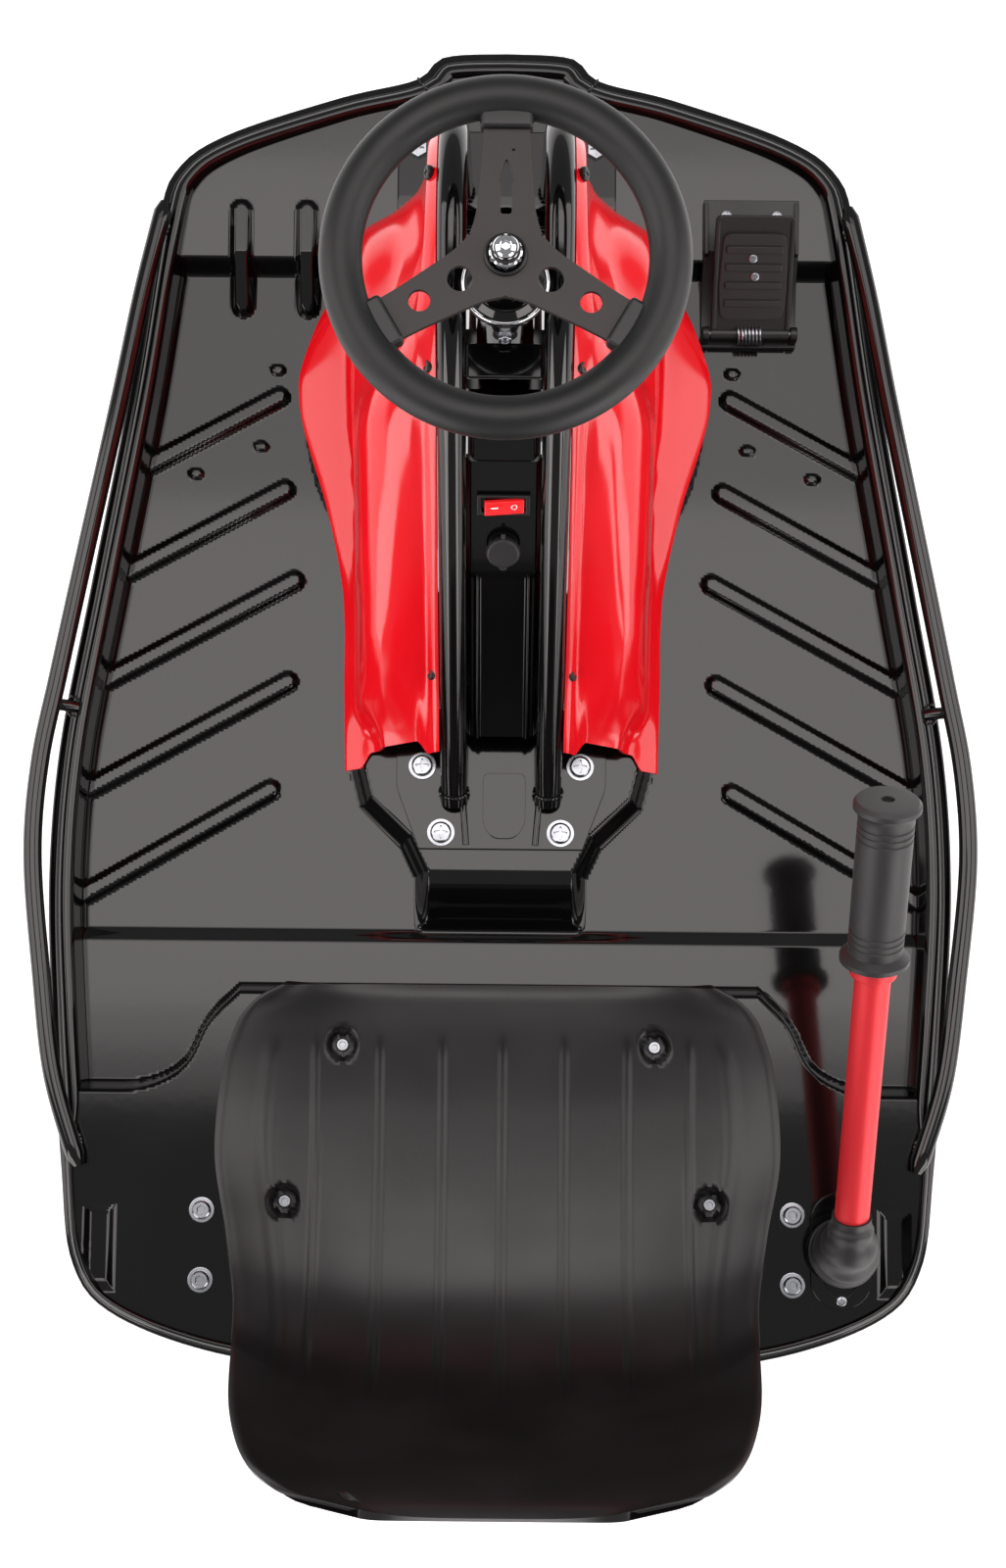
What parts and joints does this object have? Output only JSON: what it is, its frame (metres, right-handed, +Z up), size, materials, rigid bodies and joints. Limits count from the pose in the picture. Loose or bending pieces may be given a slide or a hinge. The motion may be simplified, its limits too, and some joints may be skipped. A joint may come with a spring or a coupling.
{
  "type": "electric drift kart chassis",
  "caption": "Child's electric drift kart chassis: pressed steel pan, twin-tube steering arch, swivelling front drive wheel, moulded seat and a lever that leans the rear casters.",
  "frame": {"origin": "middle of the kart's outline in plan, on the ground under its wheels", "axes": "+Y forward towards the nose, +X to the driver's right, +Z up"},
  "size_m": [0.6568, 0.988, 0.468],
  "materials": {
    "black_enamel": "gloss black stove enamel on pressed steel",
    "red_gloss_abs": "gloss red injection-moulded ABS",
    "moulded_black_seat": "fine-grained blow-moulded polyethylene",
    "moulded_black_nylon": "satin moulded nylon",
    "red_powder_coat": "red powder coat on steel tube",
    "black_rubber": "matt moulded rubber",
    "black_pu_foam": "skinned polyurethane foam",
    "grey_anodised_plate": "dark grey satin coating on plate",
    "chrome_plate": "polished chrome plate",
    "machined_steel": "turned and oiled steel",
    "zinc_plate": "bright zinc plate",
    "tyre_rubber": "vulcanised tyre rubber",
    "caster_polyurethane": "cast polyurethane tread",
    "cast_aluminium": "die-cast aluminium",
    "battery_case_abs": "moulded battery case",
    "translucent_red_rocker": "translucent red polycarbonate"
  },
  "bodies": {
    "chassis": {"frame_pan": "black_enamel", "bumper_tube_right": "black_enamel", "bumper_tube_left": "black_enamel", "arch_tube_right": "black_enamel", "arch_tube_left": "black_enamel", "arch_foot_plate": "black_enamel", "arch_front_bracket": "black_enamel", "head_tube": "black_enamel", "head_bearing_upper": "chrome_plate", "head_bearing_lower": "machined_steel", "head_gusset": "black_enamel", "fairing_right": "red_gloss_abs", "fairing_left": "red_gloss_abs", "centre_cover": "black_enamel", "switch_frame": "moulded_black_nylon", "charger_socket": "moulded_black_nylon", "battery_right": "battery_case_abs", "battery_left": "battery_case_abs", "speed_controller": "cast_aluminium", "seat": "moulded_black_seat", "seat_bolt_front_right": "zinc_plate", "seat_bolt_front_left": "zinc_plate", "seat_bolt_rear_right": "zinc_plate", "seat_bolt_rear_left": "zinc_plate", "pedal_housing": "moulded_black_nylon", "pedal_pin": "zinc_plate", "lever_boot": "black_rubber", "boot_plate": "black_rubber", "beam_bearing_right": "machined_steel", "beam_bearing_left": "machined_steel", "front_caster_plate_right": "zinc_plate", "front_caster_plate_left": "zinc_plate"},
    "steering": {"steering_wheel_rim": "black_pu_foam", "steering_wheel_plate": "grey_anodised_plate", "steering_stem": "chrome_plate", "hub_nut": "chrome_plate", "drive_fork": "black_enamel", "drive_motor": "cast_aluminium", "drive_axle": "zinc_plate", "drive_chain": "machined_steel"},
    "drive_wheel": {"drive_tyre": "tyre_rubber", "drive_rim": "black_enamel", "drive_sprocket": "machined_steel"},
    "motor_shaft": {"motor_sprocket": "machined_steel"},
    "throttle": {"throttle_pedal": "moulded_black_nylon"},
    "drift_bar": {"caster_beam": "black_enamel", "drift_lever": "red_powder_coat", "lever_grip": "black_rubber"},
    "rear_swivel_right": {"rear_caster_fork_right": "zinc_plate", "rear_caster_axle_right": "zinc_plate"},
    "rear_swivel_left": {"rear_caster_fork_left": "zinc_plate", "rear_caster_axle_left": "zinc_plate"},
    "rear_wheel_right": {"rear_caster_wheel_right": "caster_polyurethane"},
    "rear_wheel_left": {"rear_caster_wheel_left": "caster_polyurethane"},
    "front_swivel_right": {"front_caster_fork_right": "zinc_plate"},
    "front_swivel_left": {"front_caster_fork_left": "zinc_plate"},
    "front_wheel_right": {"front_caster_wheel_right": "caster_polyurethane"},
    "front_wheel_left": {"front_caster_wheel_left": "caster_polyurethane"},
    "power_rocker": {"rocker_button": "translucent_red_rocker"},
    "charger_lid": {"charger_cap": "black_rubber"}
  },
  "joints": [
    {"name": "steering_turn", "type": "hinge", "parent": "chassis", "child": "steering", "pos_m": [0, 0.228, 0.3], "axis": [0, 0, 1], "continuous": true},
    {"name": "drive_wheel_spin", "type": "hinge", "parent": "steering", "child": "drive_wheel", "pos_m": [0, 0.228, 0.1], "axis": [1, 0, 0], "continuous": true},
    {"name": "motor_shaft_spin", "type": "hinge", "parent": "steering", "child": "motor_shaft", "pos_m": [0.04, 0.228, 0.182], "axis": [1, 0, 0], "continuous": true},
    {"name": "throttle_press", "type": "hinge", "parent": "chassis", "child": "throttle", "pos_m": [0.175, 0.293, 0.08], "axis": [-1, 0, 0], "range_deg": [0, 15], "stiffness_Nm_per_rad": 1.2, "springref_deg": -11.46},
    {"name": "drift_bar_lift", "type": "hinge", "parent": "chassis", "child": "drift_bar", "pos_m": [0, -0.353, 0.084], "axis": [1, 0, 0], "range_deg": [0, 35], "deforming": ["lever_boot"]},
    {"name": "rear_swivel_right_turn", "type": "hinge", "parent": "drift_bar", "child": "rear_swivel_right", "pos_m": [0.15, -0.353, 0.06], "axis": [0, 0, 1], "continuous": true},
    {"name": "rear_wheel_right_spin", "type": "hinge", "parent": "rear_swivel_right", "child": "rear_wheel_right", "pos_m": [0.15, -0.373, 0.029], "axis": [1, 0, 0], "continuous": true},
    {"name": "rear_swivel_left_turn", "type": "hinge", "parent": "drift_bar", "child": "rear_swivel_left", "pos_m": [-0.15, -0.353, 0.06], "axis": [0, 0, 1], "continuous": true},
    {"name": "rear_wheel_left_spin", "type": "hinge", "parent": "rear_swivel_left", "child": "rear_wheel_left", "pos_m": [-0.15, -0.373, 0.029], "axis": [1, 0, 0], "continuous": true},
    {"name": "front_swivel_right_turn", "type": "hinge", "parent": "chassis", "child": "front_swivel_right", "pos_m": [0.205, 0.285, 0.05], "axis": [0, 0, 1], "continuous": true},
    {"name": "front_wheel_right_spin", "type": "hinge", "parent": "front_swivel_right", "child": "front_wheel_right", "pos_m": [0.205, 0.272, 0.024], "axis": [1, 0, 0], "continuous": true},
    {"name": "front_swivel_left_turn", "type": "hinge", "parent": "chassis", "child": "front_swivel_left", "pos_m": [-0.205, 0.285, 0.05], "axis": [0, 0, 1], "continuous": true},
    {"name": "front_wheel_left_spin", "type": "hinge", "parent": "front_swivel_left", "child": "front_wheel_left", "pos_m": [-0.205, 0.272, 0.024], "axis": [1, 0, 0], "continuous": true},
    {"name": "power_rocker_tilt", "type": "hinge", "parent": "chassis", "child": "power_rocker", "pos_m": [0, 0.12108, 0.27724], "axis": [0, 0.7, 0.7142], "range_deg": [-16, 0]},
    {"name": "charger_lid_open", "type": "hinge", "parent": "chassis", "child": "charger_lid", "pos_m": [0, 0.10465, 0.26501], "axis": [-1, 0, 0], "range_deg": [0, 110]}
  ],
  "couplings": [
    {"joint": "motor_shaft_spin", "follows": "drive_wheel_spin", "ratio": 2.9091}
  ]
}
